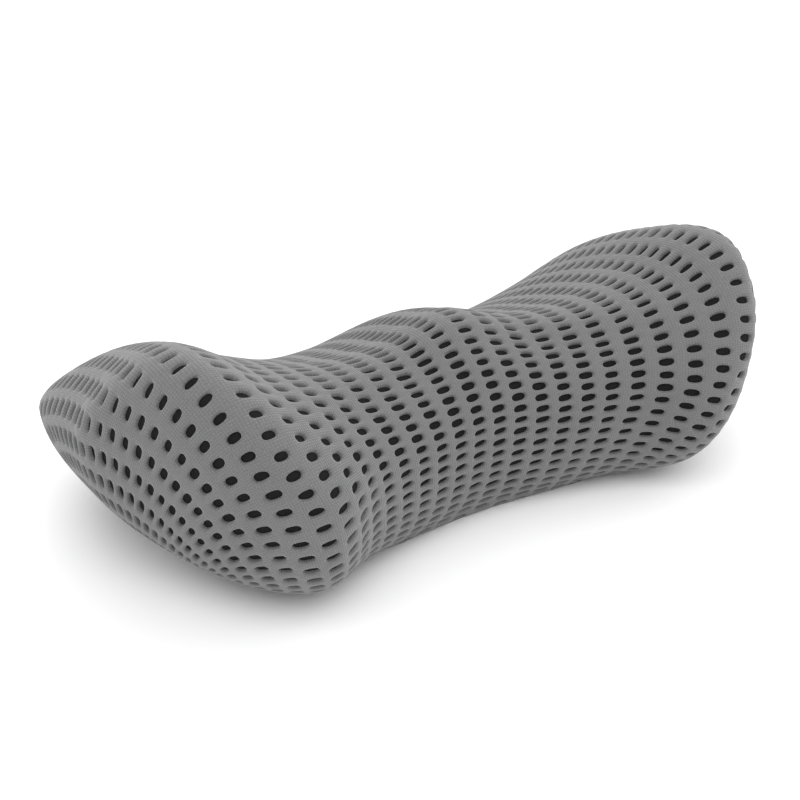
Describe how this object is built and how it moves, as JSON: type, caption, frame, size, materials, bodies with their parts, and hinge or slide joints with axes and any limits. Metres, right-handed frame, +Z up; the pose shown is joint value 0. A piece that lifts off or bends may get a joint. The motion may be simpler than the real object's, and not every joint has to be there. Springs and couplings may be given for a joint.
{
  "type": "lumbar support cushion",
  "caption": "Wave-shaped lumbar support cushion with high end lobes, a low waist and a flat base, in a zipped cover of thick 3-D mesh.",
  "frame": {"origin": "centre of the cushion's box at the level of its flat base, on the surface that it rests on", "axes": "+X along the length, +Y from the concave front edge towards the rear wall with the zip, +Z up"},
  "size_m": [0.46, 0.2608, 0.1489],
  "materials": {
    "mesh_fabric": "grey 3-D spacer mesh with oval holes, matte with a slight sheen at grazing angles",
    "base_fabric": "dark grey plain knit",
    "liner_knit": "off-white fine knit",
    "foam": null,
    "thread": "grey sewing thread",
    "zip_tape": "dark grey woven tape",
    "zip_coil": "dark nylon, semi-gloss",
    "zip_metal": "dark gunmetal finish, semi-gloss",
    "label_tape": "blank white satin tape"
  },
  "bodies": {
    "cushion": {"foam_core": "foam", "inner_liner": "liner_knit", "cover_top": "mesh_fabric", "cover_base": "base_fabric", "base_seam": "thread", "zip_tape_upper": "zip_tape", "zip_tape_lower": "zip_tape", "zip_coil_upper": "zip_coil", "zip_coil_lower": "zip_coil", "zip_stitch_upper": "thread", "zip_stitch_lower": "thread", "zip_top_stops": "zip_coil", "zip_bottom_stop": "zip_coil", "care_label": "label_tape"},
    "slider": {"zip_slider": "zip_metal"},
    "pull": {"zip_pull": "zip_metal"}
  },
  "joints": [
    {"name": "zip_slide", "type": "slide", "parent": "cushion", "child": "slider", "axis": [-1, 0, 0], "range_m": [0, 0.18]},
    {"name": "pull_hinge", "type": "hinge", "parent": "slider", "child": "pull", "pos_m": [0.091, 0.128, 0.026], "axis": [0, 0, 1], "range_deg": [-175, 0]}
  ]
}
